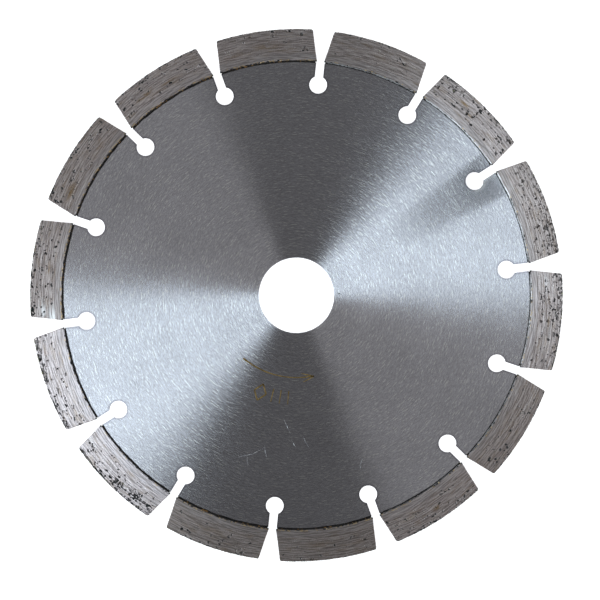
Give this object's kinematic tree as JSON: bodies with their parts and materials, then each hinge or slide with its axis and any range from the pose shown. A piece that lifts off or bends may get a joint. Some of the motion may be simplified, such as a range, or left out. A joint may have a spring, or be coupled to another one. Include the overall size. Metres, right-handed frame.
{
  "type": "diamond blade",
  "caption": "Flat segmented diamond cutting disc: brushed steel core with a plain arbor hole, keyhole gullets and raised abrasive segments welded round its rim.",
  "frame": {"origin": "centre of the arbor hole, at half the core's thickness", "axes": "+Z along the spindle axis and out of the marked face; the blade lies flat in XY, +X and +Y across it"},
  "size_m": [0.18, 0.18, 0.0024],
  "materials": {
    "core_steel": "concentrically brushed, satin",
    "weld_bead": "dark oxidised weld",
    "segment_foot": "ground sintered metal",
    "diamond_abrasive": "ground sintered metal with diamond grit, pitted"
  },
  "bodies": {
    "root": {"steel_core": "core_steel", "segment_01_weld": "weld_bead", "segment_01_foot": "segment_foot", "segment_01_abrasive": "diamond_abrasive", "segment_02_weld": "weld_bead", "segment_02_foot": "segment_foot", "segment_02_abrasive": "diamond_abrasive", "segment_03_weld": "weld_bead", "segment_03_foot": "segment_foot", "segment_03_abrasive": "diamond_abrasive", "segment_04_weld": "weld_bead", "segment_04_foot": "segment_foot", "segment_04_abrasive": "diamond_abrasive", "segment_05_weld": "weld_bead", "segment_05_foot": "segment_foot", "segment_05_abrasive": "diamond_abrasive", "segment_06_weld": "weld_bead", "segment_06_foot": "segment_foot", "segment_06_abrasive": "diamond_abrasive", "segment_07_weld": "weld_bead", "segment_07_foot": "segment_foot", "segment_07_abrasive": "diamond_abrasive", "segment_08_weld": "weld_bead", "segment_08_foot": "segment_foot", "segment_08_abrasive": "diamond_abrasive", "segment_09_weld": "weld_bead", "segment_09_foot": "segment_foot", "segment_09_abrasive": "diamond_abrasive", "segment_10_weld": "weld_bead", "segment_10_foot": "segment_foot", "segment_10_abrasive": "diamond_abrasive", "segment_11_weld": "weld_bead", "segment_11_foot": "segment_foot", "segment_11_abrasive": "diamond_abrasive", "segment_12_weld": "weld_bead", "segment_12_foot": "segment_foot", "segment_12_abrasive": "diamond_abrasive", "segment_13_weld": "weld_bead", "segment_13_foot": "segment_foot", "segment_13_abrasive": "diamond_abrasive", "segment_14_weld": "weld_bead", "segment_14_foot": "segment_foot", "segment_14_abrasive": "diamond_abrasive"}
  },
  "joints": []
}
